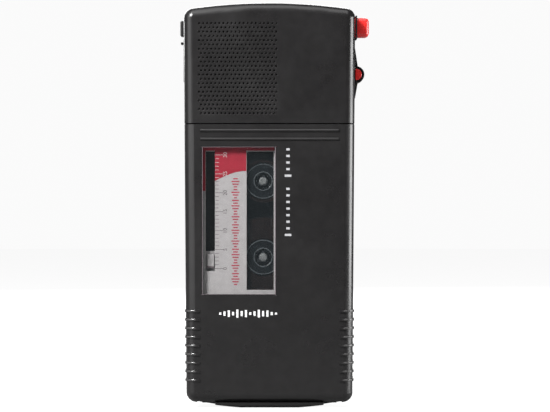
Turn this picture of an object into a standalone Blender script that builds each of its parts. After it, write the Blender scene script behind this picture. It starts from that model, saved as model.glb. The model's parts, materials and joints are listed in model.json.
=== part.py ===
"""A hand-held cassette recorder for dictation, standing upright on its lower end.

It is 142 mm high, 60 mm wide and 24 mm deep. X is the user's right, -Y is the
front with the window and the loudspeaker, and Z is up. The origin is the middle
of the small flat on which it stands. Sizes and places below are in millimetres,
and MM turns them into Blender's metres.

The covers are cut from one rounded body. Behind the large front lid lies the
cassette. Behind the cassette come the chassis plate, the belt layer, the idler
layer, the bridge that carries the shafts' rear ends, and the circuit board.
"""

import math

import bmesh
import bpy
from mathutils import Matrix, Vector

MM = 0.001
GAP = 0.3

# The outer body.
HEIGHT = 142.0
DEPTH = 24.0
FRONT, BACK = -DEPTH / 2, DEPTH / 2
SIDE_AT_FOOT = 29.1
SIDE_SLOPE = 0.0072
TOP_RADIUS = 196.0
FOOT_RADIUS = 150.0
FOOT_FLAT = 10.0
CORNER_RADIUS = 3.6
EDGE_RADIUS = 3.4
WALL = 1.6

# Where the covers part.
REAR_FROM_Y = -4.0
LIP_TOP = 1.9
LIP_HALF = 19.0
LID_TOP = 99.3
UPPER_FROM = 99.7
FLANGE = 1.2
HINGE_Y, HINGE_Z = -8.3, 5.4
BARREL_RADIUS = 3.7
BARREL_HALF = 23.6
PIN_RADIUS = 0.7
HINGE_ARM = (23.9, 25.1)

# The window in the lid, and the cassette behind it.
WINDOW = (-23.9, 2.5, 39.4, 91.5)
CASSETTE = (-26.8, 13.2, 34.5, 97.6)
CASSETTE_Y = (-9.8, -2.4)
HUB_X = -2.2
TAKEUP_Z, SUPPLY_Z = 79.4, 52.7
HUB_WINDOW = (-8.0, 1.5, 41.3, 89.8)
INDEX_SLOT = (-22.3, -19.1, 47.9, 89.8)
POINTER_Z = (49.0, 53.7)
HUB_RADIUS, HUB_BORE = 6.2, 3.05
FULL_PACK, EMPTY_PACK = 14.0, 7.6

# The layers from front to back.
SLIDE_Y = (-2.1, -1.3)
CHASSIS_Y = (-1.0, -0.2)
BELT_Y = (0.3, 2.3)
IDLER_Y = (2.8, 4.8)
BRIDGE_Y = (5.3, 6.3)
BOARD_Y = (7.4, 8.6)

# The drive.
CAPSTAN = (10.2, 88.0)
FLYWHEEL_RADIUS = 11.3
DRIVE_HUB_RADIUS = 3.0
IDLER_RADIUS = 2.5
MOTOR = (12.5, 121.0)
MOTOR_RADIUS = 8.0
PULLEY_RADIUS = 2.4
BELT_RADIUS = 0.5
PINCH_PIVOT = (20.0, 78.0)
PINCH_ROLLER = (15.6, 88.0)
PINCH_RADIUS = 3.4

# The controls on the sides.
THUMB_Z = 117.2
THUMB_Y = (-2.8, 5.2)
BUTTON_Z = (130.5, 137.3)
BUTTON_Y = (-2.3, 4.9)
BUTTON_OUT = 35.2
KEY_Z = (130.8, 136.3)
KEY_Y = (-1.6, 3.6)
KEY_OUT = -31.6
VOLUME_Z = (127.95, 128.75)
VOLUME_STRIP = (114.6, 129.4)
VOLUME_SLOT = (116.6, 129.1)
CONTROL_Y = 1.2

# Grip ridges, thumb ridges and loudspeaker.
RIB_COUNT, RIB_TOP, RIB_PITCH, RIB_HEIGHT = 9, 34.0, 3.02, 0.9
RIB_FROM, RIB_FAR_Y, RIB_PROUD = 24.4, 4.0, 0.4
RIDGE_HALF, RIDGE_Z = 24.2, (97.1, 94.1)
SPEAKER = (-11.3, 118.5)
SPEAKER_RADIUS = 14.0

# Cells, screws and sockets.
CELL_RADIUS = 7.1
CELL_Y = 2.9
CELL_Z = (11.8, 26.6)
BAY = (26.9, 5.0, 34.6)
BOSS_RADIUS = 2.7
BOSSES = ((-15.0, 135.5), (15.0, 135.5), (-24.0, 38.5), (24.0, 38.5))
JACK = (-6.2, 4.2)
MICROPHONE = (4.0, 3.0)


def clear_scene():
    for obj in list(bpy.data.objects):
        bpy.data.objects.remove(obj, do_unlink=True)


clear_scene()
PARTS = bpy.data.collections.new("portable_field_recorder")
CUTTERS = bpy.data.collections.new("cutters")
for collection in (PARTS, CUTTERS):
    bpy.context.scene.collection.children.link(collection)


def material(name, colour, roughness=0.5, metallic=0.0, alpha=1.0):
    made = bpy.data.materials.new(name)
    made.use_nodes = True
    shader = made.node_tree.nodes["Principled BSDF"]
    shader.inputs["Base Color"].default_value = (*colour, 1.0)
    shader.inputs["Roughness"].default_value = roughness
    shader.inputs["Metallic"].default_value = metallic
    shader.inputs["Alpha"].default_value = alpha
    made.diffuse_color = (*colour, alpha)
    return made


BLACK = material("case_plastic", (0.022, 0.022, 0.023), 0.45)
CLEAR = material("smoked_window", (0.10, 0.10, 0.11), 0.08, alpha=0.4)
RED = material("red_plastic", (0.80, 0.03, 0.03), 0.4)
GREY = material("cassette_plastic", (0.05, 0.05, 0.055), 0.4)
LABEL = material("label_paper", (0.30, 0.29, 0.29), 0.6)
WHITE = material("white_plastic", (0.60, 0.60, 0.60), 0.5)
TAPE = material("magnetic_tape", (0.06, 0.03, 0.025), 0.35)
STEEL = material("bright_steel", (0.55, 0.56, 0.58), 0.3, 1.0)
BRASS = material("brass", (0.60, 0.42, 0.16), 0.35, 1.0)
RUBBER = material("black_rubber", (0.015, 0.015, 0.015), 0.8)
BOARD = material("circuit_laminate", (0.03, 0.16, 0.07), 0.5)
PAPER = material("speaker_paper", (0.03, 0.03, 0.03), 0.9)
CELL = material("cell_sleeve", (0.10, 0.12, 0.16), 0.35)


# Shapes. Each returns a function that adds one closed shape to a bmesh, so that
# a shape can serve as a part, as an addition or as a cut.


def box(low, high):
    low, high = Vector(low), Vector(high)
    place = Matrix.Translation((low + high) / 2) @ Matrix.Diagonal((*(high - low), 1))
    return lambda bm: bmesh.ops.create_cube(bm, size=1, matrix=place)


def front_box(area, near, far, grow=0.0):
    """A box over an area (left, right, bottom, top) of the front view, from y = near to y = far."""
    left, right, bottom, top = area
    return box((left - grow, near, bottom - grow), (right + grow, far, top + grow))


def rod(start, end, radius, sides=20):
    """A round bar from start to end."""
    start, end = Vector(start), Vector(end)
    turn = (end - start).to_track_quat("Z", "Y").to_matrix().to_4x4()
    return lambda bm: bmesh.ops.create_cone(
        bm,
        cap_ends=True,
        segments=sides,
        radius1=radius,
        radius2=radius,
        depth=(end - start).length,
        matrix=Matrix.Translation((start + end) / 2) @ turn,
    )


def shaft(at, near, far, radius, sides=20):
    """A round bar along Y at (x, z) from y = near to y = far."""
    return rod((at[0], near, at[1]), (at[0], far, at[1]), radius, sides=sides)


def group(*shapes):
    """Shapes that don't meet, added to one mesh."""

    def add(bm):
        for shape in shapes:
            shape(bm)

    return add


def from_curve(curve, turn=Matrix()):
    """The closed mesh of a curve, with its caps welded and facing out."""
    holder = bpy.data.objects.new(curve.name, curve)
    CUTTERS.objects.link(holder)
    bpy.context.view_layer.update()
    graph = bpy.context.evaluated_depsgraph_get()
    mesh = bpy.data.meshes.new_from_object(holder.evaluated_get(graph))
    bpy.data.objects.remove(holder)
    whole = bmesh.new()
    whole.from_mesh(mesh)
    bmesh.ops.remove_doubles(whole, verts=whole.verts, dist=0.002)
    bmesh.ops.transform(whole, matrix=turn, verts=whole.verts)
    bmesh.ops.recalc_face_normals(whole, faces=whole.faces)
    whole.to_mesh(mesh)
    whole.free()
    return lambda bm: bm.from_mesh(mesh)


def poly_curve(name, points, dimensions, cyclic):
    curve = bpy.data.curves.new(name, "CURVE")
    curve.dimensions = dimensions
    spline = curve.splines.new("POLY")
    spline.points.add(len(points) - 1)
    for point, place in zip(spline.points, points):
        point.co = (*place, 0.0, 1.0) if dimensions == "2D" else (*place, 1.0)
    spline.use_cyclic_u = cyclic
    return curve


def slab(points, near, far, edge=0.0):
    """A flat outline of (x, z) points, filled and given its depth along Y.

    With an edge radius, the outline is the inner one that the rounding grows from."""
    curve = poly_curve("outline", points, "2D", True)
    curve.fill_mode = "BOTH"
    curve.extrude = (far - near) / 2 - edge
    curve.bevel_depth = edge
    curve.bevel_resolution = 2
    stand = Matrix.Translation((0, (near + far) / 2, 0)) @ Matrix.Rotation(math.pi / 2, 4, "X")
    return from_curve(curve, stand)


def tube(points, radius, cyclic=False):
    """A wire or a belt along a run of 3-D points."""
    curve = poly_curve("run", points, "3D", cyclic)
    curve.bevel_depth = radius
    curve.bevel_resolution = 2
    curve.use_fill_caps = not cyclic
    return from_curve(curve)


def arc(centre, radius, start, end, steps):
    """Points along an arc in the front view, from the start angle to the end angle in radians."""
    angles = [start + (end - start) * i / steps for i in range(steps + 1)]
    return [(centre[0] + radius * math.cos(a), centre[1] + radius * math.sin(a)) for a in angles]


def coil(start, axis, length, radius, wire, turns):
    """A helical spring that runs from start along axis."""
    turn = Vector(axis).to_track_quat("Z", "Y")
    steps = turns * 10
    points = []
    for i in range(steps + 1):
        angle = 2 * math.pi * turns * i / steps
        along = length * i / steps
        points.append(
            Vector(start) + turn @ Vector((radius * math.cos(angle), radius * math.sin(angle), along))
        )
    return tube(points, wire)


def half_width(z):
    return SIDE_AT_FOOT + SIDE_SLOPE * z


def corner_centre(arc_centre_z, arc_radius, radius, inset, up):
    """The centre of a corner's circle, which touches the side and the long arc from inside."""
    z = HEIGHT if up > 0 else 0.0
    for _ in range(4):
        x = half_width(z) - inset - radius
        z = arc_centre_z + up * math.sqrt((arc_radius - radius) ** 2 - x * x)
    return x, z


def body_outline(inset):
    """The outline from the front, set in by the inset: convex ends, nearly straight sides."""
    radius = CORNER_RADIUS - inset
    foot_centre = math.sqrt(FOOT_RADIUS**2 - FOOT_FLAT**2)
    top_centre = HEIGHT - TOP_RADIUS
    foot_arc, top_arc = FOOT_RADIUS - inset, TOP_RADIUS - inset
    low = corner_centre(foot_centre, foot_arc, radius, inset, -1)
    high = corner_centre(top_centre, top_arc, radius, inset, 1)
    low_angle = math.atan2(low[1] - foot_centre, low[0])
    high_angle = math.atan2(high[1] - top_centre, high[0])
    flat_angle = math.atan2(inset - foot_centre, FOOT_FLAT)
    half = [(FOOT_FLAT, inset)]
    half += arc((0, foot_centre), foot_arc, flat_angle, low_angle, 5)[1:]
    half += arc(low, radius, low_angle, 0, 4)[1:]
    half += arc(high, radius, 0, high_angle, 4)
    half += arc((0, top_centre), top_arc, high_angle, math.pi / 2, 6)[1:]
    return half + [(-x, z) for x, z in reversed(half[:-1])]


def body_solid(inset):
    """The whole rounded body, set in on every side."""
    edge = EDGE_RADIUS - inset
    return slab(body_outline(inset + edge), FRONT + inset, BACK - inset, edge)


# Objects.


def new_object(name, shape, collection):
    bm = bmesh.new()
    shape(bm)
    bmesh.ops.scale(bm, vec=(MM, MM, MM), verts=bm.verts)
    mesh = bpy.data.meshes.new(name)
    bm.to_mesh(mesh)
    bm.free()
    obj = bpy.data.objects.new(name, mesh)
    collection.objects.link(obj)
    return obj


def boolean(obj, operation, shape):
    """Adds, cuts or keeps a shape, which becomes a hidden helper."""
    if isinstance(shape, bpy.types.Object):
        helper = shape
    else:
        helper = new_object(f"{obj.name}_{operation.lower()}_{len(obj.modifiers)}", shape, CUTTERS)
    helper.hide_render = True
    helper.display_type = "WIRE"
    step = obj.modifiers.new(helper.name, "BOOLEAN")
    step.operation = operation
    step.object = helper
    return obj


def part(name, look, shape, first=(), keep=(), cut=(), add=(), then_cut=(), bevel=0.0):
    """A sub-part: a shape with what it gains first, then what is kept, cut, added and cut last."""
    obj = new_object(name, shape, PARTS)
    obj.data.materials.append(look)
    if bevel:
        rounding = obj.modifiers.new("edges", "BEVEL")
        rounding.width = bevel * MM
        rounding.segments = 2
        rounding.limit_method = "ANGLE"
        rounding.angle_limit = math.radians(40)
    for operation, shapes in (
        ("UNION", first),
        ("INTERSECT", keep),
        ("DIFFERENCE", cut),
        ("UNION", add),
        ("DIFFERENCE", then_cut),
    ):
        for other in shapes:
            boolean(obj, operation, other)
    obj.data.shade_smooth()
    obj.data.set_sharp_from_angle(angle=math.radians(35))
    return obj


def turned(name, look, at, profile, steps=28):
    """A piece turned about a line along Y: the profile holds (radius, y) points, front to back."""
    bm = bmesh.new()
    points = [bm.verts.new((radius * MM, 0, -y * MM)) for radius, y in profile]
    for first, second in zip(points, points[1:]):
        bm.edges.new((first, second))
    if profile[0][0] > 0:
        bm.edges.new((points[-1], points[0]))
    mesh = bpy.data.meshes.new(name)
    bm.to_mesh(mesh)
    bm.free()
    obj = bpy.data.objects.new(name, mesh)
    PARTS.objects.link(obj)
    obj.data.materials.append(look)
    spin = obj.modifiers.new("turn", "SCREW")
    spin.steps = spin.render_steps = steps
    spin.use_merge_vertices = True
    spin.merge_threshold = 0.00001
    obj.rotation_euler = (math.pi / 2, 0, 0)
    obj.location = (at[0] * MM, 0, at[1] * MM)
    return obj


def on_joint(name, place, *objects):
    """An empty on a joint's axis, which carries the pieces that move about it."""
    empty = bpy.data.objects.new(name, None)
    empty.location = Vector(place) * MM
    empty.empty_display_size = 5 * MM
    PARTS.objects.link(empty)
    for obj in objects:
        obj.parent = empty
        obj.matrix_parent_inverse = Matrix.Translation(-empty.location)
    return empty


def both_sides(low, high):
    """A box to the right of the middle and its mirror image on the left."""
    return group(box(low, high), box((-high[0], low[1], low[2]), (-low[0], high[1], high[2])))


# Covers.


def grip_ribs():
    """The ribs that run from the front over each long edge: slices of a body a little prouder than the real one."""
    bands = []
    for i in range(RIB_COUNT):
        middle = RIB_TOP - RIB_PITCH * i
        low, high = middle - RIB_HEIGHT / 2, middle + RIB_HEIGHT / 2
        bands.append(both_sides((RIB_FROM, -20, low), (40, RIB_FAR_Y, high)))
    ribs = new_object("grip_ribs", body_solid(-RIB_PROUD), CUTTERS)
    return boolean(ribs, "INTERSECT", group(*bands))


def rear_cover():
    bosses, bores, counterbores = [], [], []
    for at in BOSSES:
        bosses.append(shaft(at, 0.1, BACK - 1.3, BOSS_RADIUS))
        bores.append(shaft(at, -1, BACK + 1, 1.4, 16))
        counterbores.append(shaft(at, BACK - 1.4, BACK + 1, 2.6))
    arm_near, arm_far = HINGE_ARM
    hinge = (HINGE_Y, HINGE_Z)
    arms = [both_sides((arm_near + 0.1, hinge[0], hinge[1] - 1.6), (arm_far - 0.1, -2.5, hinge[1] + 1.4))]
    arms.append(both_sides((arm_near, -3.9, hinge[1] - 1.4), (28.4, -2.6, hinge[1] + 1.3)))
    for side in (-1, 1):
        ends = [(side * x, *hinge) for x in HINGE_ARM]
        arms.append(rod(ends[0], ends[1], 1.7))
    part(
        "rear_cover",
        BLACK,
        body_solid(0),
        first=[grip_ribs()],
        cut=[
            body_solid(WALL),
            box((-40, -20, LIP_TOP), (40, REAR_FROM_Y, 160)),
            both_sides((LIP_HALF, -20, -5), (40, REAR_FROM_Y, LIP_TOP + 1)),
            rod((-45, *hinge), (45, *hinge), BARREL_RADIUS + GAP, sides=40),
        ],
        add=[group(*bosses), *arms],
        then_cut=[
            group(*bores),
            group(*counterbores),
            rod((-26.5, *hinge), (26.5, *hinge), 1.05, sides=16),
            box((-BAY[0], 6.0, BAY[1]), (BAY[0], 20, BAY[2])),
            box((27, 0.2, 109.2), (32, 2.4, 121.9)),
            box((27, BUTTON_Y[0] - GAP, BUTTON_Z[0] - GAP), (32, BUTTON_Y[1] + GAP, BUTTON_Z[1] + GAP)),
            box((-32, KEY_Y[0] - GAP, KEY_Z[0] - GAP), (-27, KEY_Y[1] + GAP, KEY_Z[1] + GAP)),
            box((-32, -1.6, VOLUME_STRIP[0] - GAP), (-29.4, 4.0, VOLUME_STRIP[1] + GAP)),
            box((-32, 0.2, VOLUME_SLOT[0]), (-27, 2.2, VOLUME_SLOT[1])),
            rod((JACK[0], JACK[1], 135), (JACK[0], JACK[1], 145), 3.3),
            rod((MICROPHONE[0], MICROPHONE[1], 135), (MICROPHONE[0], MICROPHONE[1], 145), 0.8, sides=12),
        ],
    )


def front_upper_cover():
    posts = group(*[shaft(at, FRONT + 1.3, -0.2, BOSS_RADIUS) for at in BOSSES[:2]])
    part(
        "front_upper_cover",
        BLACK,
        body_solid(0),
        keep=[box((-40, -20, UPPER_FROM), (40, REAR_FROM_Y - GAP, 160))],
        cut=[body_solid(WALL)],
        add=[posts, box((-28.6, FRONT + 1.3, UPPER_FROM), (28.6, REAR_FROM_Y - GAP, UPPER_FROM + FLANGE))],
        then_cut=[group(*[shaft(at, -7.0, 1, 1.4, 16) for at in BOSSES[:2]])],
    )


def cassette_door():
    hinge = (HINGE_Y, HINGE_Z)
    below = new_object("below_hinge", box((-40, -20, -5), (40, 0, HINGE_Z)), CUTTERS)
    boolean(below, "DIFFERENCE", rod((-45, *hinge), (45, *hinge), BARREL_RADIUS, sides=40))
    far = REAR_FROM_Y - GAP
    ridges = [
        rod((-RIDGE_HALF, FRONT + 0.1, z), (RIDGE_HALF, FRONT + 0.1, z), 0.55, sides=12) for z in RIDGE_Z
    ]
    return part(
        "cassette_door",
        BLACK,
        body_solid(0),
        first=[grip_ribs()],
        keep=[box((-40, -20, -1), (40, far, LID_TOP))],
        cut=[body_solid(WALL), below],
        add=[
            rod((-BARREL_HALF, *hinge), (BARREL_HALF, *hinge), BARREL_RADIUS - GAP, sides=32),
            box((-28.5, FRONT + 1.3, LID_TOP - FLANGE - 0.2), (28.5, far, LID_TOP - 0.2)),
            group(*ridges),
        ],
        then_cut=[
            rod((-BARREL_HALF - 1, *hinge), (BARREL_HALF + 1, *hinge), 1.05, sides=16),
            front_box(WINDOW, -20, -8),
            front_box(WINDOW, FRONT + 0.9, -8, 1.5),
            both_sides((HINGE_ARM[0] - 0.4, -10.2, -1), (HINGE_ARM[1] + 0.3, -3, HINGE_Z)),
        ],
    )


def window_pane():
    near = FRONT + 0.2
    return part(
        "window_pane",
        CLEAR,
        front_box(WINDOW, near, near + 1.3, -GAP),
        add=[front_box(WINDOW, near + 1.0, CASSETTE_Y[0] - GAP, 1.2)],
    )


def hinge_pins():
    for name, side in (("hinge_pin_left", -1), ("hinge_pin_right", 1)):
        ends = [(side * x, HINGE_Y, HINGE_Z) for x in (19.0, 25.1)]
        part(name, STEEL, rod(ends[0], ends[1], PIN_RADIUS, sides=16))


def case_screws():
    for number, (at, tip) in enumerate(zip(BOSSES, (-6.5, -6.5, -0.9, -0.9)), 1):
        part(
            f"case_screw_{number}",
            STEEL,
            shaft(at, BACK - 1.1, BACK - 0.1, 2.2),
            add=[shaft(at, tip, BACK - 0.6, 1.0, 12)],
            then_cut=[front_box((at[0] - 1.6, at[0] + 1.6, at[1] - 0.25, at[1] + 0.25), BACK - 0.5, BACK + 1)],
        )


# The chassis and the drive.


def idler_place():
    """The idler stands between the drive hub and the take-up wheel."""
    run = Vector((HUB_X - CAPSTAN[0], TAKEUP_Z - CAPSTAN[1])).normalized()
    along = DRIVE_HUB_RADIUS + IDLER_RADIUS
    return CAPSTAN[0] + run.x * along, CAPSTAN[1] + run.y * along


def takeup_radius():
    reach = math.dist((HUB_X, TAKEUP_Z), CAPSTAN)
    return reach - DRIVE_HUB_RADIUS - 2 * IDLER_RADIUS


def chassis_plate():
    near, far = CHASSIS_Y
    holes = [(HUB_X, TAKEUP_Z, 2.2), (HUB_X, SUPPLY_Z, 2.2), (*CAPSTAN, 2.9), (*MOTOR, 1.4)]
    holes += [(x, z, 1.5) for x, z in BOSSES[2:]]
    part(
        "chassis_plate",
        STEEL,
        front_box((-26, 26, 36, 128), near, far),
        cut=[group(*[shaft((x, z), near - 1, far + 1, radius) for x, z, radius in holes])],
    )


def drive_bridge():
    near, far = BRIDGE_Y
    posts = [shaft(at, CHASSIS_Y[1] + GAP, near + 0.5, 1.4, 16) for at in ((-6.5, 90), (20.5, 74), (-6, 70.2))]
    bores = [(CAPSTAN, 1.3), ((HUB_X, TAKEUP_Z), 1.9), (idler_place(), 1.2)]
    part(
        "drive_bridge",
        STEEL,
        front_box((-8, 22.3, 68.5, 91.5), near, far),
        add=[group(*posts)],
        then_cut=[group(*[shaft(at, near - 1, far + 1, radius) for at, radius in bores])],
    )


def flywheel():
    near, far = BELT_Y
    rim = FLYWHEEL_RADIUS
    wheel = turned(
        "flywheel",
        BRASS,
        CAPSTAN,
        [(1.3, near), (rim, near), (rim, far), (DRIVE_HUB_RADIUS - 0.15, far),
         (DRIVE_HUB_RADIUS - 0.15, IDLER_Y[1]), (1.3, IDLER_Y[1])],
    )
    pin = part("capstan_shaft", STEEL, shaft(CAPSTAN, -8.2, BRIDGE_Y[1] - 0.1, 1.0, 16))
    part(
        "capstan_bearing",
        BRASS,
        shaft(CAPSTAN, SLIDE_Y[0] + 0.2, BELT_Y[0] - GAP, 2.6),
        cut=[shaft(CAPSTAN, -3, 1, 1.3, 16)],
    )
    on_joint("flywheel_axis", (CAPSTAN[0], 0, CAPSTAN[1]), wheel, pin)


def motor():
    near = FRONT + WALL + 0.4
    part("motor", STEEL, shaft(MOTOR, near, CHASSIS_Y[0] - GAP, MOTOR_RADIUS, 32), bevel=0.5)
    low, high = BELT_Y
    middle = (low + high) / 2
    pulley = turned(
        "motor_pulley",
        BRASS,
        MOTOR,
        [(0, CHASSIS_Y[0]), (0.8, CHASSIS_Y[0]), (0.8, low), (PULLEY_RADIUS, low),
         (PULLEY_RADIUS - 0.3, middle), (PULLEY_RADIUS, high), (0, high)],
        24,
    )
    on_joint("motor_axis", (MOTOR[0], 0, MOTOR[1]), pulley)


def drive_belt():
    """A round belt that wraps the flywheel and the motor pulley along their outer tangents."""
    y = sum(BELT_Y) / 2
    clear = BELT_RADIUS + GAP
    wheel, pulley = FLYWHEEL_RADIUS + clear, PULLEY_RADIUS + clear
    run = Vector(MOTOR) - Vector(CAPSTAN)
    heading = math.atan2(run.y, run.x)
    spread = math.acos((wheel - pulley) / run.length)
    loop = arc(CAPSTAN, wheel, heading + spread, heading + 2 * math.pi - spread, 22)
    loop += arc(MOTOR, pulley, heading - spread, heading + spread, 8)
    part("drive_belt", RUBBER, tube([(x, y, z) for x, z in loop], BELT_RADIUS, cyclic=True))


def idler_wheel():
    at = idler_place()
    near, far = IDLER_Y
    rim = IDLER_RADIUS - 0.15
    wheel = turned(
        "idler_wheel",
        RUBBER,
        at,
        [(0, near), (rim, near), (rim, far), (0.9, far), (0.9, BRIDGE_Y[1] - 0.1), (0, BRIDGE_Y[1] - 0.1)],
        24,
    )
    on_joint("idler_axis", (at[0], 0, at[1]), wheel)


def splines(at, inner, outer, near, far, count):
    """Flat splines that stand out round a shaft, as boxes turned about it."""
    made = []
    for i in range(count):
        angle = 2 * math.pi * i / count + math.pi / 2
        place = Matrix.Translation((at[0], 0, at[1])) @ Matrix.Rotation(-angle, 4, "Y")
        size = Matrix.Diagonal((outer - inner, far - near, 0.7, 1))
        middle = Matrix.Translation(((inner + outer) / 2, (near + far) / 2, 0))
        made.append(lambda bm, m=place @ middle @ size: bmesh.ops.create_cube(bm, size=1, matrix=m))
    return group(*made)


def reel(side, at, pack):
    """A spindle, the cassette hub that it turns, and the tape wound on that hub."""
    tip = -8.2
    rear = BRIDGE_Y[1] - 0.1 if side == "takeup" else 2.0
    extra = []
    if side == "takeup":
        extra = [shaft(at, *IDLER_Y, takeup_radius() - 0.15, 40)]
    else:
        extra = [shaft(at, *BELT_Y, 4.5)]
    spindle = part(
        f"{side}_spindle",
        WHITE,
        shaft(at, tip, rear, 1.6, 20),
        add=[splines(at, 1.2, 2.15, tip + 0.6, -3.6, 3), *extra],
    )
    hub = part(
        f"{side}_hub",
        WHITE,
        shaft(at, -8.2, -3.5, HUB_RADIUS, 32),
        cut=[shaft(at, -9, -3, HUB_BORE, 20)],
        add=[splines(at, 2.5, 3.5, -7.9, -3.8, 6)],
    )
    wound = part(
        f"{side}_tape_pack",
        TAPE,
        shaft(at, -8.0, -3.9, pack, 40),
        cut=[shaft(at, -9, -3, HUB_RADIUS + GAP, 32)],
    )
    on_joint(f"{side}_axis", (at[0], 0, at[1]), spindle, hub, wound)


# The cassette.


def cassette():
    near, far = CASSETTE_Y
    left, right, low, high = CASSETTE
    inner = (left + 1, right - 1, low + 1, high - 1)
    label = (left + 0.8, right - 0.8, low + 1.5, high - 1.2)
    hubs = [shaft((HUB_X, z), -3.8, far + 1, 3.6) for z in (TAKEUP_Z, SUPPLY_Z)]
    part(
        "cassette_shell",
        GREY,
        front_box(CASSETTE, near, far),
        bevel=0.6,
        cut=[
            front_box(inner, near + 1.3, far - 0.8),
            front_box(label, near - 1, near + 0.6, GAP),
            front_box(HUB_WINDOW, near - 1, near + 2),
            front_box(INDEX_SLOT, near - 1, near + 2),
            group(*hubs, shaft(CAPSTAN, -3.8, far + 1, 2.0)),
            box((right - 2, near + 1.3, 50), (right + 1, far - 0.8, 72)),
            box((right - 2, near + 1.3, 83), (right + 1, far + 1, 93.2)),
        ],
    )
    part(
        "cassette_label",
        LABEL,
        front_box(label, near + 0.05, near + 0.3),
        cut=[front_box(HUB_WINDOW, near - 1, near + 2), front_box(INDEX_SLOT, near - 1, near + 2)],
    )
    part("cassette_window", CLEAR, front_box(HUB_WINDOW, near + 0.2, near + 1.1, -GAP))
    slot_left, slot_right = INDEX_SLOT[:2]
    flag = (slot_left + GAP, slot_right - GAP, *POINTER_Z)
    pointer = part(
        "index_pointer",
        WHITE,
        front_box(flag, near + 0.7, near + 1.8),
        add=[front_box(flag, near + 1.6, near + 2.3, 1.2)],
    )
    on_joint("index_pointer_rest", (sum(flag[:2]) / 2, near, POINTER_Z[0]), pointer)


# Heads, pinch roller and the slide that carries them.


def head_slide():
    near, far = SLIDE_Y
    plate = part(
        "head_slide",
        STEEL,
        front_box((14.2, 25.6, 50, 74), near, far),
        cut=[front_box((21, 24.4, 60, 64), near - 1, far + 1)],
    )
    heads = [plate]
    for name, low, high, deep in (("record_play_head", 61.5, 70.5, 19.5), ("erase_head", 53, 59, 18)):
        heads.append(
            part(name, STEEL, box((13.9, -8.4, low), (deep, near - GAP, high)), bevel=0.8)
        )
    on_joint("head_slide_rest", (14.2, near, 62), *heads)
    part("head_spring", STEEL, coil((15.5, -4.2, 46), (1, 0, 0), 9, 1.3, 0.2, 6))


def pinch_arm():
    near, far = SLIDE_Y
    pivot, roller = Vector(PINCH_PIVOT), Vector(PINCH_ROLLER)
    middle = (pivot + roller) / 2
    run = roller - pivot
    place = Matrix.Translation((middle.x, (near + far) / 2, middle.y))
    place = place @ Matrix.Rotation(-math.atan2(run.y, run.x), 4, "Y")
    bar = place @ Matrix.Diagonal((run.length, far - near, 3.2, 1))
    arm = part(
        "pinch_arm",
        STEEL,
        lambda bm: bmesh.ops.create_cube(bm, size=1, matrix=bar),
        add=[shaft(PINCH_PIVOT, near, far, 2.4), shaft(PINCH_ROLLER, near, far, 1.8),
             shaft(PINCH_ROLLER, -9.0, near + 0.4, 0.6, 12)],
        then_cut=[shaft(PINCH_PIVOT, near - 1, far + 1, 1.3, 16)],
    )
    part("pinch_pivot", STEEL, shaft(PINCH_PIVOT, near - 0.8, CHASSIS_Y[0] - GAP, 1.0, 16))
    on_joint("pinch_pivot_axis", (PINCH_PIVOT[0], 0, PINCH_PIVOT[1]), arm)
    wheel = turned(
        "pinch_roller",
        RUBBER,
        PINCH_ROLLER,
        [(0.9, -8.4), (PINCH_RADIUS, -8.4), (PINCH_RADIUS, -2.8), (0.9, -2.8)],
        24,
    )
    on_joint("pinch_roller_axis", (PINCH_ROLLER[0], 0, PINCH_ROLLER[1]), wheel)


# Sound and electronics.


def speaker():
    front = FRONT + WALL + GAP
    full = SPEAKER_RADIUS
    turned(
        "speaker_frame",
        STEEL,
        SPEAKER,
        [(0, -6.0), (6.4, -6.0), (12.6, front), (full, front), (full, -9.0), (7.6, -5.4), (7.6, -2.4), (0, -2.4)],
        28,
    )
    turned(
        "speaker_cone",
        PAPER,
        SPEAKER,
        [(0, -8.1), (2.2, -7.9), (3.6, -6.9), (11.6, front), (12.0, front), (5.6, -6.3), (0, -6.3)],
        28,
    )


def microphone():
    x, y = MICROPHONE
    part("microphone_capsule", STEEL, rod((x, y, 134.6), (x, y, 138.2), 3.0))
    part(
        "microphone_boot",
        RUBBER,
        rod((x, y, 134.0), (x, y, 139.0), 4.3),
        cut=[rod((x, y, 134.0 - 1), (x, y, 140), 3.3)],
    )


def electronics():
    near, far = BOARD_Y
    part("circuit_board", BOARD, front_box((-25.5, 25.5, 44, 128), near, far))
    part("amplifier_chip", RUBBER, box((-12, far + GAP, 100), (-2, far + 1.4, 118)))
    part(
        "earphone_jack",
        RUBBER,
        box((JACK[0] - 3.4, JACK[1] - 3, 129), (JACK[0] + 3.4, JACK[1] + 2.6, 139)),
        add=[
            rod((JACK[0], JACK[1], 138), (JACK[0], JACK[1], 141.6), 3.0),
            rod((JACK[0], JACK[1], 141), (JACK[0], JACK[1], 142.4), 2.5),
        ],
        then_cut=[rod((JACK[0], JACK[1], 131), (JACK[0], JACK[1], 145), 1.8)],
    )
    part("record_switch", RUBBER, box((18.6, -1, 130.9), (22.3, 3.6, 135.9)))
    part("volume_potentiometer", BOARD, box((-26.0, 0, 112), (-23.6, 3, 128)))


# Controls on the sides.


def record_button():
    y_low, y_high = BUTTON_Y
    z_low, z_high = BUTTON_Z
    middle = ((y_low + y_high) / 2, (z_low + z_high) / 2)
    cap = part(
        "record_button",
        RED,
        box((28.6, y_low, z_low), (BUTTON_OUT, y_high, z_high)),
        bevel=1.3,
    )
    spring = part("record_spring", STEEL, coil((25.2, *middle), (1, 0, 0), 2.7, 1.5, 0.2, 4))
    part(
        "record_collar",
        RUBBER,
        box((30.4, y_low - 0.7, z_low - 0.7), (31.0, y_high + 0.7, z_high + 0.7)),
        cut=[box((30, y_low - GAP, z_low - GAP), (32, y_high + GAP, z_high + GAP))],
    )
    on_joint("record_button_rest", (28.6, *middle), cap, spring)


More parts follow.
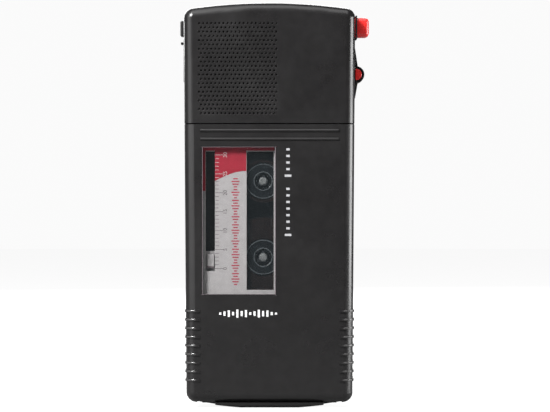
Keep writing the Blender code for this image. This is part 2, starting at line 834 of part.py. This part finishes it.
def function_slider():
    """The thumb slide: a long ramp with a round ridge in its middle, on a stem through the side."""
    base, crest = 30.25, 31.2
    ridge = 2.95
    outline = [(base, 108.8), (crest, 114.2), (crest, 120.2), (base, 126.5)]
    y_low, y_high = THUMB_Y
    ridge_at = (crest - 0.6, THUMB_Z)
    slide = part(
        "function_slider",
        BLACK,
        slab(outline, y_low, y_high),
        add=[
            shaft(ridge_at, y_low, y_high, ridge, 36),
            box((24.5, 0.5, THUMB_Z - 1.5), (base + 0.5, 2.1, THUMB_Z + 1.5)),
        ],
        then_cut=[
            box((20, y_low - 1, 110), (base, 0.5, 125)),
            box((20, 2.1, 110), (base, y_high + 1, 125)),
            box((20, 0, 110), (base, 3, THUMB_Z - 1.6)),
            box((20, 0, THUMB_Z + 1.6), (base, 3, 125)),
            shaft(ridge_at, y_low - 1, y_low + 0.8, 2.3, 30),
        ],
    )
    inlay = part(
        "slider_inlay",
        RED,
        shaft(ridge_at, y_low - 0.1, y_low + 0.5, 2.0, 30),
        keep=[box((base + 0.1, y_low - 1, 110), (40, y_low + 1, 125))],
    )
    on_joint("function_slider_rest", (base, CONTROL_Y, THUMB_Z), slide, inlay)


def index_key():
    middle = (sum(KEY_Y) / 2, sum(KEY_Z) / 2)
    key = part(
        "index_key",
        BLACK,
        box((KEY_OUT, KEY_Y[0], KEY_Z[0]), (-27.9, KEY_Y[1], KEY_Z[1])),
        bevel=0.5,
    )
    spring = part("index_key_spring", STEEL, coil((-27.4, *middle), (1, 0, 0), 2.2, 1.5, 0.2, 3))
    on_joint("index_key_rest", (KEY_OUT, *middle), key, spring)


def volume_control():
    low, high = VOLUME_STRIP
    part(
        "volume_escutcheon",
        BLACK,
        box((-30.4, -1.3, low), (-29.7, 3.7, high)),
        cut=[box((-32, 0.2, VOLUME_SLOT[0]), (-27, 2.2, VOLUME_SLOT[1]))],
    )
    z_low, z_high = VOLUME_Z
    slider = part(
        "volume_slider",
        BLACK,
        box((-31.4, 0.6, z_low), (-27.5, 1.8, z_high)),
        add=[
            box((-31.4, -0.8, z_low), (-30.75, 3.2, z_high)),
            box((-28.3, -0.2, z_low - 1), (-26.5, 2.6, z_high)),
        ],
    )
    on_joint("volume_slider_rest", (-30.4, CONTROL_Y, z_high), slider)


# The cells.


def battery_bay():
    part(
        "battery_tray",
        BLACK,
        box((-27.2, -5.3, 9.8), (27.2, 8.8, 33.9)),
        cut=[box((-26.5, -4.5, 9), (26.5, 11, 35))],
    )
    for number, (z, side) in enumerate(zip(CELL_Z, (1, -1)), 1):
        ends = [(side * x, CELL_Y, z) for x in (-23.6, 25.0, 26.2)]
        part(
            f"battery_cell_{number}",
            CELL,
            rod(ends[0], ends[1], CELL_RADIUS, sides=32),
            bevel=0.4,
            add=[rod((side * 24.5, CELL_Y, z), ends[2], 2.6)],
        )
        part(
            f"battery_spring_{number}",
            STEEL,
            coil((side * -26.0, CELL_Y, z), (side, 0, 0), 1.8, 3.0, 0.25, 2),
        )
    half, low, high = BAY
    cover = part(
        "battery_cover",
        BLACK,
        body_solid(0),
        keep=[box((-half + GAP, BACK - 1.5, low + GAP), (half - GAP, BACK + 1, high - GAP))],
        then_cut=[
            group(*[box((-7, BACK - 0.5, z), (7, BACK + 1, z + 0.9)) for z in (27.0, 29.0, 31.0)])
        ],
    )
    on_joint("battery_cover_rest", (0, BACK - 1.5, low), cover)


def door_assembly():
    door, pane = cassette_door(), window_pane()
    on_joint("door_hinge", (0, HINGE_Y, HINGE_Z), door, pane)


rear_cover()
front_upper_cover()
door_assembly()
hinge_pins()
case_screws()
chassis_plate()
drive_bridge()
flywheel()
motor()
drive_belt()
idler_wheel()
reel("takeup", (HUB_X, TAKEUP_Z), EMPTY_PACK)
reel("supply", (HUB_X, SUPPLY_Z), FULL_PACK)
cassette()
head_slide()
pinch_arm()
speaker()
microphone()
electronics()
record_button()
function_slider()
index_key()
volume_control()
battery_bay()
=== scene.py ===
"""The looks of the hand-held cassette recorder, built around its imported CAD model.

The frame is the CAD's, in metres: X is to the right as seen from the front, -Y the front, Z up.
The visible covers and controls are finer copies of their CAD nodes, with rounded
edges and real grille holes. Printing is thin raised geometry of its own.
"""

import json
import math

import bmesh
import bpy
from mathutils import Matrix, Vector

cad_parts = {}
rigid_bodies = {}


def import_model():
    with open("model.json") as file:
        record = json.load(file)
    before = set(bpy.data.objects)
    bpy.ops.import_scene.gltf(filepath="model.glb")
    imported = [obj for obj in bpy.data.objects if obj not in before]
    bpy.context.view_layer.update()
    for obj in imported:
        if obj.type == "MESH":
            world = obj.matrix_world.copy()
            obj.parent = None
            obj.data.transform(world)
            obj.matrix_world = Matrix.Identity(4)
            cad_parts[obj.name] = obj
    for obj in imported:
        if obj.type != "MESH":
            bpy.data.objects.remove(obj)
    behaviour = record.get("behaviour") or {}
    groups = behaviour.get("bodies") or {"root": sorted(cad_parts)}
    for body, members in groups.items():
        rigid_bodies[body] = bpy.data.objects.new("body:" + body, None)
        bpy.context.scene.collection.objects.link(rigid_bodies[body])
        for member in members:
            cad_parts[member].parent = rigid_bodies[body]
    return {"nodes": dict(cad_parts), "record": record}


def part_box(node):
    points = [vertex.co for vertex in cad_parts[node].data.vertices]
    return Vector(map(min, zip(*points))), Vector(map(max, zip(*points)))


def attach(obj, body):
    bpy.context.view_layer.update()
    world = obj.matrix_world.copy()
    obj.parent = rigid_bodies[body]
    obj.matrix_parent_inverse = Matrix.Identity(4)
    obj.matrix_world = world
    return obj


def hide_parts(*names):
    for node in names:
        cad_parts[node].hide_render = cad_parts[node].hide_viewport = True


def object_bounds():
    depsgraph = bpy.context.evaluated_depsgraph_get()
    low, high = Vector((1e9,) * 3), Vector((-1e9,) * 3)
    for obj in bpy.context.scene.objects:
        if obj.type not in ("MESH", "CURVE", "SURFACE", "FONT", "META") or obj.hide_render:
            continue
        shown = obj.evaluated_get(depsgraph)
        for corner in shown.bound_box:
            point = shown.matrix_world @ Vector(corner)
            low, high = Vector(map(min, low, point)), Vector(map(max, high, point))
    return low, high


for leftover in list(bpy.data.objects):
    bpy.data.objects.remove(leftover, do_unlink=True)

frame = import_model()
NODES = frame["nodes"]
RECORD = frame["record"]
BODY_OF = {node: body for body, nodes in RECORD["behaviour"]["bodies"].items() for node in nodes}
SLOT_OF = {entry["node"]: entry["material_slot"] for entry in RECORD["subparts"]}
CAD_BOX = [list(corner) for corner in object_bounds()]
MM = 0.001


# Camera, lights and stage.


def camera():
    """A long lens, straight in front; the view is view_width wide at the front of the case."""
    low, high = (Vector(corner) for corner in CAD_BOX)
    view_width, lens, sensor = 0.1921, 150, 36
    right, down = 0.00015, 0.0005
    made = bpy.data.cameras.new("camera")
    made.lens = lens
    made.sensor_width = sensor
    holder = bpy.data.objects.new("camera", made)
    distance = view_width * lens / sensor
    holder.location = ((low.x + high.x) / 2 + right, low.y - distance, (low.z + high.z) / 2 - down)
    holder.rotation_euler = (math.pi / 2, 0, 0)
    bpy.context.scene.collection.objects.link(holder)
    bpy.context.scene.camera = holder


def area_light(name, place, aim, width, height, power):
    light = bpy.data.lights.new(name, "AREA")
    light.shape = "RECTANGLE"
    light.size, light.size_y = width, height
    light.energy = power
    holder = bpy.data.objects.new(name, light)
    holder.location = place
    direction = Vector(aim) - Vector(place)
    holder.rotation_euler = direction.to_track_quat("-Z", "Y").to_euler()
    bpy.context.scene.collection.objects.link(holder)


def studio():
    """Softboxes round the case, and a white backdrop that lights the case only a little."""
    middle = (0, 0, 0.07)
    area_light("right_softbox", (0.62, -0.06, 0.05), middle, 0.42, 0.30, 7.4)
    area_light("left_softbox", (-0.66, -0.46, 0.14), middle, 0.55, 0.90, 4.2)
    area_light("top_softbox", (0.0, -0.30, 0.95), middle, 0.9, 0.7, 5.5)
    area_light("corner_light", (-0.32, -0.34, 0.46), (-0.03, 0, 0.14), 0.18, 0.18, 12.0)
    area_light("back_softbox", (-0.2, 0.95, 0.45), middle, 0.8, 0.6, 8.0)
    world = bpy.data.worlds.new("studio")
    bpy.context.scene.world = world
    world.use_nodes = True
    nodes, links = world.node_tree.nodes, world.node_tree.links
    nodes.clear()
    output = nodes.new("ShaderNodeOutputWorld")
    mix = nodes.new("ShaderNodeMixShader")
    path = nodes.new("ShaderNodeLightPath")
    dim, bright = nodes.new("ShaderNodeBackground"), nodes.new("ShaderNodeBackground")
    dim.inputs["Strength"].default_value = 0.07
    bright.inputs["Strength"].default_value = 0.96
    for background in (dim, bright):
        background.inputs["Color"].default_value = (1, 1, 1, 1)
    links.new(path.outputs["Is Camera Ray"], mix.inputs["Fac"])
    links.new(dim.outputs[0], mix.inputs[1])
    links.new(bright.outputs[0], mix.inputs[2])
    links.new(mix.outputs[0], output.inputs["Surface"])
    bpy.context.scene.view_settings.view_transform = "Standard"


def floor():
    """White paper just under the foot, which the camera sees lighter than the case does."""
    drop = 0.00005
    bm = bmesh.new()
    bmesh.ops.create_circle(bm, cap_ends=True, segments=96, radius=3.0)
    mesh = bpy.data.meshes.new("floor")
    bm.to_mesh(mesh)
    bm.free()
    made = bpy.data.objects.new("floor", mesh)
    made.location.z = -drop
    bpy.context.scene.collection.objects.link(made)
    look, shader = principled("floor_paper", (0.20, 0.20, 0.20), 0.9, specular=0.1)
    shader.inputs["Emission Color"].default_value = (1, 1, 1, 1)
    nodes, links = look.node_tree.nodes, look.node_tree.links
    path, glow = nodes.new("ShaderNodeLightPath"), nodes.new("ShaderNodeMapRange")
    glow.inputs["To Min"].default_value = 0.03
    glow.inputs["To Max"].default_value = 0.92
    links.new(path.outputs["Is Camera Ray"], glow.inputs["Value"])
    links.new(glow.outputs["Result"], shader.inputs["Emission Strength"])
    mesh.materials.append(look)


# Materials.


def principled(name, colour, roughness, metallic=0.0, specular=0.5, alpha=1.0):
    look = bpy.data.materials.new(name)
    look.use_nodes = True
    shader = look.node_tree.nodes["Principled BSDF"]
    shader.inputs["Base Color"].default_value = (*colour, 1)
    shader.inputs["Roughness"].default_value = roughness
    shader.inputs["Metallic"].default_value = metallic
    shader.inputs["Specular IOR Level"].default_value = specular
    shader.inputs["Alpha"].default_value = alpha
    return look, shader


def noise(look, scale, detail=2.0, stretch=(1, 1, 1)):
    """A noise over the object's own coordinates, in metres; its scale is in waves per metre."""
    nodes, links = look.node_tree.nodes, look.node_tree.links
    coordinates = nodes.new("ShaderNodeTexCoord")
    mapping = nodes.new("ShaderNodeMapping")
    mapping.inputs["Scale"].default_value = stretch
    made = nodes.new("ShaderNodeTexNoise")
    made.inputs["Scale"].default_value = scale
    made.inputs["Detail"].default_value = detail
    links.new(coordinates.outputs["Object"], mapping.inputs["Vector"])
    links.new(mapping.outputs["Vector"], made.inputs["Vector"])
    return made.outputs["Fac"]


def bump(look, shader, height, strength, depth):
    nodes, links = look.node_tree.nodes, look.node_tree.links
    made = nodes.new("ShaderNodeBump")
    made.inputs["Strength"].default_value = strength
    made.inputs["Distance"].default_value = depth
    links.new(height, made.inputs["Height"])
    links.new(made.outputs["Normal"], shader.inputs["Normal"])


def spread(look, factor, low, high, target):
    """The factor's middle range, stretched from low to high, drives the target input."""
    nodes, links = look.node_tree.nodes, look.node_tree.links
    made = nodes.new("ShaderNodeMapRange")
    made.inputs["From Min"].default_value = 0.3
    made.inputs["From Max"].default_value = 0.7
    made.inputs["To Min"].default_value = low
    made.inputs["To Max"].default_value = high
    links.new(factor, made.inputs["Value"])
    links.new(made.outputs["Result"], target)


def tint(look, factor, first, second, target):
    nodes, links = look.node_tree.nodes, look.node_tree.links
    ramp = nodes.new("ShaderNodeValToRGB")
    ramp.color_ramp.elements[0].position = 0.3
    ramp.color_ramp.elements[0].color = (*first, 1)
    ramp.color_ramp.elements[1].position = 0.7
    ramp.color_ramp.elements[1].color = (*second, 1)
    links.new(factor, ramp.inputs["Fac"])
    links.new(ramp.outputs["Color"], target)


def moulded(name, colour, roughness, texture=2600, strength=0.25, specular=0.5):
    """Moulded plastic: a fine spark-eroded texture, faint mottling and uneven gloss from handling."""
    look, shader = principled(name, colour, roughness, specular=specular)
    bump(look, shader, noise(look, texture, 3.0), strength, 0.03 * MM)
    spread(look, noise(look, 60, 4.0), roughness - 0.05, roughness + 0.07, shader.inputs["Roughness"])
    light = tuple(value * 1.18 for value in colour)
    dark = tuple(value * 0.88 for value in colour)
    tint(look, noise(look, 380, 3.0), dark, light, shader.inputs["Base Color"])
    return look


def metal(name, colour, roughness):
    """Rolled or turned metal with fine brushing along one way."""
    look, shader = principled(name, colour, roughness, metallic=1.0)
    lines = noise(look, 160, 2.0, stretch=(1, 1, 40))
    bump(look, shader, lines, 0.12, 0.02 * MM)
    spread(look, lines, roughness - 0.08, roughness + 0.12, shader.inputs["Roughness"])
    return look


def printed(name, colour, roughness=0.6, variation=0.05):
    """Ink or paper, with a slight mottling of its colour; also used for painted highlights."""
    look, shader = principled(name, colour, roughness)
    light = tuple(min(1, value * (1 + variation)) for value in colour)
    dark = tuple(value * (1 - variation) for value in colour)
    tint(look, noise(look, 500, 2.0), dark, light, shader.inputs["Base Color"])
    return look


def pane(name, colour, alpha, roughness):
    """Moulded clear plastic, whose gloss varies a little from wiping."""
    look, shader = principled(name, colour, roughness, alpha=alpha)
    spread(look, noise(look, 70, 3.0), roughness, roughness + 0.05, shader.inputs["Roughness"])
    return look


def wound_tape():
    """The edges of wound tape, which are too fine to be told apart, as a satin brown."""
    dark, light = (0.022, 0.012, 0.010), (0.040, 0.022, 0.018)
    look, shader = principled("wound_tape", (0.030, 0.017, 0.014), 0.32)
    tint(look, noise(look, 900, 3.0), dark, light, shader.inputs["Base Color"])
    bump(look, shader, noise(look, 1800, 2.0), 0.15, 0.02 * MM)
    return look


LOOKS = {
    "case_plastic": moulded("satin_black_case", (0.0072, 0.0068, 0.0070), 0.30, 2600, 0.16, 0.36),
    "smoked_window": pane("smoked_acrylic", (0.010, 0.012, 0.013), 0.24, 0.03),
    "clear_styrene": pane("clear_styrene", (0.020, 0.026, 0.030), 0.22, 0.04),
    "red_plastic": moulded("red_plastic", (0.62, 0.020, 0.018), 0.34, 1800, 0.10),
    "cassette_plastic": moulded("cassette_styrene", (0.040, 0.045, 0.048), 0.36, 2200, 0.12),
    "label_paper": printed("label_grey", (0.52, 0.50, 0.50)),
    "white_plastic": moulded("acetal_white", (0.50, 0.52, 0.52), 0.42, 1500, 0.08),
    "magnetic_tape": wound_tape(),
    "bright_steel": metal("bright_steel", (0.56, 0.57, 0.58), 0.32),
    "brass": metal("turned_brass", (0.62, 0.45, 0.18), 0.28),
    "black_rubber": moulded("matt_rubber", (0.012, 0.012, 0.012), 0.78, 900, 0.2, 0.3),
    "black_component": moulded("component_black", (0.016, 0.016, 0.017), 0.5),
    "circuit_laminate": moulded("green_laminate", (0.018, 0.11, 0.045), 0.42, 700, 0.15),
    "speaker_paper": moulded("pressed_paper", (0.022, 0.022, 0.022), 0.9, 1200, 0.5, 0.2),
    "cell_sleeve": moulded("cell_sleeve", (0.055, 0.065, 0.09), 0.3, 1400, 0.05),
}
DARK_STEEL = metal("blackened_steel", (0.05, 0.05, 0.05), 0.5)
LABEL_RED = printed("label_red", (0.42, 0.012, 0.035))
LABEL_INK = printed("label_ink", (0.16, 0.13, 0.14))
RED_INK = printed("red_ink", (0.50, 0.05, 0.09))
PALE_INK = printed("pale_ink", (0.62, 0.56, 0.57))
MARK_WHITE = printed("mark_white", (0.50, 0.50, 0.50), 0.5)
MARK_GREY = printed("mark_grey", (0.26, 0.26, 0.27), 0.5)
# Glossier than the case, with a lighter colour that is a painted highlight on the rib crests.
RIB_CREST_HIGHLIGHT = moulded("crest_painted_highlight", (0.030, 0.029, 0.029), 0.28, 1800, 0.08, 0.7)
HUB_DARK = moulded("hub_smoke", (0.020, 0.024, 0.028), 0.3, 1500, 0.08)
# A light colour for the reels' rims, as a painted highlight of the hub and bore edges.
RIM_HIGHLIGHT = printed("rim_painted_highlight", (0.33, 0.37, 0.39), 0.25)
SPINDLE_GREY = moulded("spindle_grey", (0.10, 0.11, 0.12), 0.35, 1500, 0.08)
# A light colour for the pane's edges, as a painted highlight.
PANE_EDGE_HIGHLIGHT = printed("pane_edge_painted_highlight", (0.13, 0.11, 0.12), 0.2)


# Pieces. From here on sizes and places are in millimetres, and MM turns them into metres.

FRONT = -12.0
SHARP = math.radians(38)


def new_piece(name, bm, look, body):
    """Makes the object of a finished bmesh and hands it to the frame."""
    mesh = bpy.data.meshes.new(name)
    bm.to_mesh(mesh)
    bm.free()
    made = bpy.data.objects.new(name, mesh)
    bpy.context.scene.collection.objects.link(made)
    mesh.materials.append(look)
    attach(made, body)
    return made


def refined(node, edge=0.15, look=None, holes=None):
    """A finer copy of a CAD node, which it replaces: welded, with rounded edges and smooth shading.

    The edges are rounded over edge millimetres where faces meet at more than SHARP."""
    bm = bmesh.new()
    bm.from_mesh(NODES[node].data)
    bmesh.ops.remove_doubles(bm, verts=bm.verts, dist=1e-6)
    bmesh.ops.dissolve_limit(bm, angle_limit=math.radians(0.4), verts=bm.verts, edges=bm.edges)
    slot = SLOT_OF[node]
    made = new_piece(f"{node}_finish", bm, look or LOOKS[slot], BODY_OF[node])
    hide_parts(node)
    made.data.shade_smooth()
    if edge:
        rounding = made.modifiers.new("edges", "BEVEL")
        rounding.width = edge * MM
        rounding.segments = 2
        rounding.limit_method = "ANGLE"
        rounding.angle_limit = SHARP
        rounding.harden_normals = False
    if holes:
        cut = made.modifiers.new("holes", "BOOLEAN")
        cut.object = holes
    made.data.set_sharp_from_angle(angle=SHARP)
    even = made.modifiers.new("even_shading", "WEIGHTED_NORMAL")
    even.keep_sharp = True
    even.weight = 90
    return made


def bars(name, places, face, look, body, depth=0.02):
    """Thin raised bars (x, z, width, height), printed on the face at y = face."""
    bm = bmesh.new()
    for x, z, width, height in places:
        place = Matrix.Translation((x * MM, (face - depth / 2) * MM, z * MM))
        shape = Matrix.Diagonal((width * MM, depth * MM, height * MM, 1))
        bmesh.ops.create_cube(bm, size=1, matrix=place @ shape)
    return new_piece(name, bm, look, body)


def turned(bm, x, z, profile, segments):
    """Adds a closed solid turned about the line through x and z along Y, from circles (y, radius)."""
    rings = []
    for y, radius in profile:
        ring = []
        for i in range(segments):
            angle = 2 * math.pi * i / segments
            place = (x + radius * math.cos(angle), y, z + radius * math.sin(angle))
            ring.append(bm.verts.new([value * MM for value in place]))
        rings.append(ring)
    for back, near in zip(rings, rings[1:]):
        for i in range(segments):
            following = (i + 1) % segments
            bm.faces.new((back[i], back[following], near[following], near[i]))
    bm.faces.new(rings[0])
    bm.faces.new(rings[-1])


def grille_holes():
    """Cutters for the small round holes in front of the loudspeaker, each with a countersunk rim.

    Every second row is set over by half a pitch."""
    left, right, low, high = -24.6, 2.4, 102.4, 134.6
    pitch_x, pitch_z, radius, mouth = 1.42, 1.5, 0.30, 0.63
    profile = [(FRONT + 1.8, radius), (FRONT + 0.2, radius), (FRONT - 0.1, mouth)]
    bm = bmesh.new()
    for row in range(int((high - low) / pitch_z) + 1):
        z = high - row * pitch_z
        shift = pitch_x / 2 if row % 2 else 0.0
        for column in range(int((right - left - shift) / pitch_x) + 1):
            turned(bm, left + shift + column * pitch_x, z, profile, 8)
    bmesh.ops.recalc_face_normals(bm, faces=bm.faces)
    mesh = bpy.data.meshes.new("grille_cutter")
    bm.to_mesh(mesh)
    bm.free()
    return bpy.data.objects.new("grille_cutter", mesh)


def bake(piece):
    """Applies the piece's modifiers, so that no helper object is needed any longer."""
    bpy.context.view_layer.update()
    graph = bpy.context.evaluated_depsgraph_get()
    mesh = bpy.data.meshes.new_from_object(piece.evaluated_get(graph))
    piece.modifiers.clear()
    piece.data = mesh


def covers():
    cutter = grille_holes()
    bpy.context.scene.collection.objects.link(cutter)
    upper = refined("front_upper_cover", 0.22, holes=cutter)
    bake(upper)
    bpy.data.objects.remove(cutter)
    refined("cassette_door", 0.16)
    refined("rear_cover", 0.16)
    refined("battery_cover", 0.14)
    refined("window_pane", 0.25)


def controls():
    refined("record_button", 0.0)
    right_side = ("record_collar", "slider_inlay")
    left_side = ("index_key", "volume_slider", "volume_escutcheon")
    for node in ("function_slider", *left_side, *right_side):
        refined(node, 0.12)
    refined("earphone_jack", 0.15)


def cassette():
    refined("cassette_shell", 0.12)
    refined("cassette_label", 0.0)
    refined("cassette_window", 0.1)
    refined("index_pointer", 0.12, look=LOOKS["label_paper"])
    for side in ("takeup", "supply"):
        refined(f"{side}_hub", 0.15, look=HUB_DARK)
        refined(f"{side}_spindle", 0.2, look=SPINDLE_GREY)
        refined(f"{side}_tape_pack", 0.1)


def wires(name, runs, radius, look, body, cyclic=False):
    """Round wires along runs of points, as one object."""
    curve = bpy.data.curves.new(name, "CURVE")
    curve.dimensions = "3D"
    curve.bevel_depth = radius * MM
    curve.bevel_resolution = 3
    curve.use_fill_caps = not cyclic
    for run in runs:
        spline = curve.splines.new("POLY")
        spline.points.add(len(run) - 1)
        for point, place in zip(spline.points, run):
            point.co = (*(value * MM for value in place), 1)
        spline.use_cyclic_u = cyclic
        spline.use_smooth = True
    made = bpy.data.objects.new(name, curve)
    bpy.context.scene.collection.objects.link(made)
    curve.materials.append(look)
    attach(made, body)


def grip_ribs():
    """Rounded crests on the grip ribs, which wrap from the front over each long edge; their lighter
    colour is a painted highlight.
    """
    count, first, pitch, steps = 9, 34.0, 3.02, 8
    back, edge, inner, seam = 4.0, 3.4, 24.9, -4.15
    foot_side, taper, clear, crest = 29.1, 0.0072, 0.4, 0.43
    lid, rear = [], []
    for i in range(count):
        z = first - pitch * i
        side = foot_side + taper * z
        for sign in (-1, 1):
            run = [(sign * inner, FRONT + 0.06, z)]
            for step in range(steps + 1):
                angle = math.pi / 2 * step / steps
                x = side - edge + edge * math.sin(angle)
                y = FRONT + edge - edge * math.cos(angle)
                run.append((sign * x, y, z))
            lid.append(run + [(sign * side, seam - clear, z)])
            rear.append([(sign * side, seam + clear, z), (sign * side, back - clear, z)])
    wires("lid_rib_crests", lid, crest, RIB_CREST_HIGHLIGHT, "cassette_door")
    wires("rear_rib_crests", rear, crest, RIB_CREST_HIGHLIGHT, "root")


def reel_rims():
    """Light-coloured rims round each hub and its bore, a painted highlight of their edges, and the
    cap of each spindle.
    """
    segments, wire, bore = 64, 0.14, 3.2
    for side in ("takeup", "supply"):
        low, high = (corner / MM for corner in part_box(f"{side}_hub"))
        middle = (low + high) / 2
        outer = (high.x - low.x) / 2 - 0.25
        body = f"{side}_reel"
        for part, radius in (("hub_rim", outer), ("bore_rim", bore)):
            run = []
            for i in range(segments):
                angle = 2 * math.pi * i / segments
                x, z = middle.x + radius * math.cos(angle), middle.z + radius * math.sin(angle)
                run.append((x, low.y, z))
            wires(f"{side}_{part}", [run], wire, RIM_HIGHLIGHT, body, cyclic=True)
        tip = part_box(f"{side}_spindle")[0].y / MM
        bm = bmesh.new()
        turned(bm, middle.x, middle.z, [(tip + 0.07, 1.5), (tip - 0.17, 1.1)], 32)
        bmesh.ops.recalc_face_normals(bm, faces=bm.faces)
        new_piece(f"{side}_spindle_cap", bm, LOOKS["white_plastic"], body)


def index_scale(near):
    """The cassette's scale: ticks up the label's left side, with a numeral at every fifth."""
    start, pitch, count, left = 48.8, 1.327, 31, -19.0
    red_from = 80
    dark, pale = [], []
    for i in range(count):
        z = start + pitch * i
        length = 2.8 if i % 5 == 0 else 1.3
        (pale if z > red_from else dark).append((left + length / 2, z, length, 0.16))
    bars("index_ticks", dark, near - 0.012, LABEL_INK, "root")
    bars("index_ticks_pale", pale, near - 0.032, PALE_INK, "root")
    for i in range(0, count, 5):
        z = start + pitch * i
        text = bpy.data.curves.new(f"numeral_{i}", "FONT")
        text.body = str(i)
        text.size = 1.9 * MM
        text.align_x = "CENTER"
        text.extrude = 0.01 * MM
        holder = bpy.data.objects.new(f"index_numeral_{i}", text)
        holder.rotation_euler = (math.pi / 2, 0, 0)
        holder.rotation_euler.rotate_axis("Z", math.pi / 2)
        holder.location = ((left + 4.1) * MM, (near - 0.04) * MM, z * MM)
        bpy.context.scene.collection.objects.link(holder)
        text.materials.append(PALE_INK if z > red_from else LABEL_INK)
        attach(holder, "root")


def red_field(near):
    """The red field across the label's top, whose lower edge swings down to the left."""
    left, slot_left, slot_right, window_left, right = -26.0, -22.4, -19.1, -8.1, 12.4
    top, slot_top, swing_top, swing_low, foot = 96.4, 90.1, 83.0, 79.5, 76.0
    steps = 10
    field = [(left, top), (right, top), (right, slot_top), (window_left, slot_top)]
    for i in range(steps, -1, -1):
        x = slot_right + (window_left - slot_right) * i / steps
        field.append((x, swing_low + (swing_top - swing_low) * math.sin(math.pi / 2 * i / steps)))
    field += [(slot_right, slot_top), (slot_left, slot_top), (slot_left, foot), (left, foot)]
    curve = bpy.data.curves.new("label_red_field", "CURVE")
    curve.dimensions = "2D"
    curve.fill_mode = "BOTH"
    curve.extrude = 0.008 * MM
    spline = curve.splines.new("POLY")
    spline.points.add(len(field) - 1)
    for point, (x, z) in zip(spline.points, field):
        point.co = (x * MM, z * MM, 0, 1)
    spline.use_cyclic_u = True
    holder = bpy.data.objects.new("label_red_field", curve)
    holder.rotation_euler = (math.pi / 2, 0, 0)
    holder.location = (0, (near - 0.012) * MM, 0)
    bpy.context.scene.collection.objects.link(holder)
    curve.materials.append(LABEL_RED)
    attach(holder, "root")


def label_printing():
    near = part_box("cassette_label")[0].y / MM
    index_scale(near)
    red_field(near)
    lengths = (1.2, 2.2, 2.8, 1.6, 2.4, 1.0, 2.0, 2.8, 1.4)
    x, start, pitch, thick = -11.9, 43.2, 0.95, 0.42
    strokes = [(x, start + pitch * i, lengths[i % len(lengths)], thick) for i in range(40)]
    bars("label_strokes", strokes, near - 0.012, RED_INK, "root")


def pointer_line():
    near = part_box("index_pointer")[0].y / MM
    line = (-20.7, 49.35, 2.6, 0.6)
    bars("pointer_line", [line], near - 0.01, LABEL_INK, "index_pointer")


def front_marks():
    """Plain marks in place of lettering: a level graphic on the lid, and dashes beside the window."""
    depth = 0.03
    heights = (0.8, 1.5, 2.3, 1.2, 2.8, 1.8, 2.5, 0.9, 1.6, 2.7, 1.9, 2.2, 1.1, 0.7)
    level = [(-17.2 + 1.5 * i, 33.1, 0.75, height) for i, height in enumerate(heights)]
    bars("front_level_mark", level, FRONT, MARK_WHITE, "cassette_door", depth)
    long_ones, space = (0, 9), 8
    dashes = []
    for i in range(14):
        if i != space:
            dashes.append((6.5, 60.6 + 2.3 * i, 2.3 if i in long_ones else 1.2, 0.8))
    bars("front_small_marks", dashes, FRONT, MARK_GREY, "cassette_door", depth)


def window_rim():
    """The pane's black border on three sides, and light bars along its edges as a painted highlight,
    wider at the top and right.
    """
    left, right, low, high = -23.9, 2.5, 39.4, 91.5
    border, thick, depth = 0.45, 0.2, 0.06
    body, slot = "cassette_door", "smoked_window"
    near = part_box("window_pane")[0].y / MM
    middle_x, middle_z = (left + right) / 2, (low + high) / 2
    wide, tall = right - left - 0.3, high - low - 0.3
    # A black border on three sides of the pane, in the case's colour.
    black_border = [
        (left + border / 2, middle_z, border, tall),
        (right - border / 2, middle_z, border, tall),
        (middle_x, low + border / 2, wide, border),
    ]
    bars("window_border", black_border, near + 0.02, LOOKS["case_plastic"], body, depth)
    # Light bars on the pane's edges, a painted highlight: wider at the top and right, narrower at the
    # bottom and left.
    edges = [
        (middle_x, high - 0.15, wide, thick),
        (right - border, middle_z, thick, tall),
        (middle_x, low + border, wide, thick * 0.6),
        (left + border, middle_z, thick * 0.6, tall),
    ]
    bars("window_edge_highlight", edges, near + 0.01, PANE_EDGE_HIGHLIGHT, body, depth)


def finish_nodes():
    """Each CAD node that stays visible takes its slot's material."""
    for node, obj in NODES.items():
        for place in obj.material_slots:
            place.material = DARK_STEEL if node == "speaker_frame" else LOOKS[SLOT_OF[node]]


camera()
studio()
floor()
finish_nodes()
covers()
controls()
cassette()
reel_rims()
label_printing()
pointer_line()
front_marks()
window_rim()
grip_ribs()
